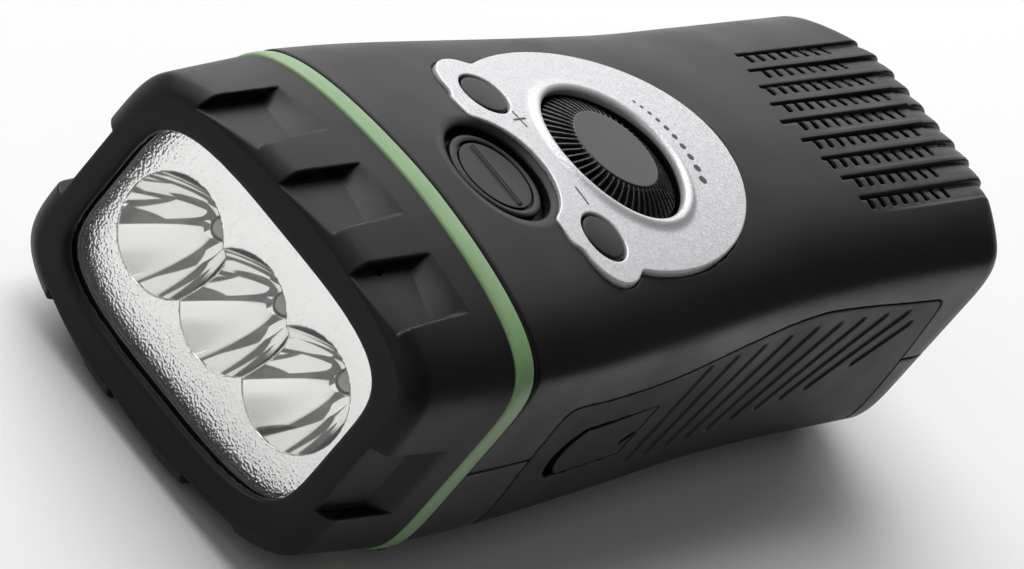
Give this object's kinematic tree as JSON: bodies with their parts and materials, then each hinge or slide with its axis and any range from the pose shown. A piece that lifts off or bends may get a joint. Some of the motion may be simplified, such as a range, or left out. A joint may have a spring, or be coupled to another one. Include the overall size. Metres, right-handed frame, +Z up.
{
  "type": "emergency radio",
  "caption": "Hand-pressed dynamo torch and radio: lamp head behind a clear lens, volume knob, press buttons, slotted loudspeaker end and a squeeze lever in the grip.",
  "frame": {"origin": "middle of the case's length and width, on the surface it lies on", "axes": "+X from the lens to the loudspeaker end, +Z up through the control side, +Y across the case"},
  "size_m": [0.158, 0.0598, 0.0457],
  "materials": {
    "bumper_rubber": "satin soft rubber",
    "ring_green": "satin pale green",
    "lens_clear": "clear polished plastic",
    "gasket_rubber": "matt",
    "reflector_chrome": "bright metallised, fine stipple round the cups",
    "led_clear": "clear resin",
    "board_green": "solder mask",
    "case_black": "satin moulded",
    "lever_black": "satin moulded",
    "plate_silver": "fine metallic satin",
    "knob_black": "satin to gloss",
    "button_rubber": "satin",
    "steel": "plain",
    "chip_black": "matt",
    "cone_paper": "pressed paper",
    "magnet_grey": "sintered",
    "cloth_black": "woven",
    "cell_blue": "shrink sleeve",
    "gear_nylon": "natural nylon",
    "coil_copper": "enamelled wire"
  },
  "bodies": {
    "case": {"rubber_bumper": "bumper_rubber", "trim_ring": "ring_green", "lens": "lens_clear", "lens_gasket": "gasket_rubber", "reflector": "reflector_chrome", "lamp_housing": "case_black", "leds": "led_clear", "led_board": "board_green", "upper_case": "case_black", "lower_case": "case_black", "control_plate": "plate_silver", "volume_pot": "steel", "tact_switches": "steel", "main_board": "board_green", "radio_chips": "chip_black", "speaker_frame": "steel", "speaker_cone": "cone_paper", "speaker_magnet": "magnet_grey", "grille_cloth": "cloth_black", "battery_cells": "cell_blue", "battery_tray": "case_black", "battery_contacts": "steel", "lever_pin": "steel", "lever_spring": "steel", "stator_core": "steel", "stator_coil": "coil_copper", "gear_plate_left": "steel", "gear_plate_right": "steel", "gear_pins": "steel", "plate_posts": "steel", "case_screws": "steel"},
    "knob": {"volume_knob": "knob_black", "pot_shaft": "steel"},
    "scan_up": {"scan_up_button": "button_rubber"},
    "scan_down": {"scan_down_button": "button_rubber"},
    "light": {"light_button": "button_rubber"},
    "lever": {"press_lever": "lever_black", "toothed_arc": "steel"},
    "catch": {"lock_catch": "case_black"},
    "gear_one": {"first_gear": "gear_nylon"},
    "gear_two": {"second_gear": "gear_nylon"},
    "rotor": {"rotor_pinion": "gear_nylon", "rotor_shaft": "steel", "rotor_magnet": "magnet_grey"}
  },
  "joints": [
    {"name": "volume_turn", "type": "hinge", "parent": "case", "child": "knob", "pos_m": [-0.011, 0, 0.043], "axis": [0, 0, -1], "range_deg": [0, 270]},
    {"name": "scan_up_press", "type": "slide", "parent": "case", "child": "scan_up", "axis": [0, 0, -1], "range_m": [0, 0.0008], "stiffness_N_per_m": 500, "springref_m": -0.001},
    {"name": "scan_down_press", "type": "slide", "parent": "case", "child": "scan_down", "axis": [0, 0, -1], "range_m": [0, 0.0008], "stiffness_N_per_m": 500, "springref_m": -0.001},
    {"name": "light_press", "type": "slide", "parent": "case", "child": "light", "axis": [0, 0, -1], "range_m": [0, 0.0008], "stiffness_N_per_m": 700, "springref_m": -0.001},
    {"name": "lever_swing", "type": "hinge", "parent": "case", "child": "lever", "pos_m": [-0.036, 0, 0.0037], "axis": [0, 1, 0], "range_deg": [0, 12]},
    {"name": "catch_press", "type": "slide", "parent": "lever", "child": "catch", "axis": [0, 1, 0], "range_m": [0, 0.0006], "stiffness_N_per_m": 400, "springref_m": -0.001},
    {"name": "gear_one_spin", "type": "hinge", "parent": "case", "child": "gear_one", "pos_m": [0.00911, 0, 0.02012], "axis": [0, 1, 0], "range_deg": [-90, 5]},
    {"name": "gear_two_spin", "type": "hinge", "parent": "case", "child": "gear_two", "pos_m": [0.0227, 0, 0.01378], "axis": [0, 1, 0], "range_deg": [-5, 345]},
    {"name": "rotor_spin", "type": "hinge", "parent": "case", "child": "rotor", "pos_m": [0.03136, 0, 0.01878], "axis": [0, 1, 0], "range_deg": [-1020, 10]}
  ],
  "couplings": [
    {"joint": "gear_one_spin", "follows": "lever_swing", "ratio": -7},
    {"joint": "gear_two_spin", "follows": "lever_swing", "ratio": 28},
    {"joint": "rotor_spin", "follows": "lever_swing", "ratio": -84}
  ]
}
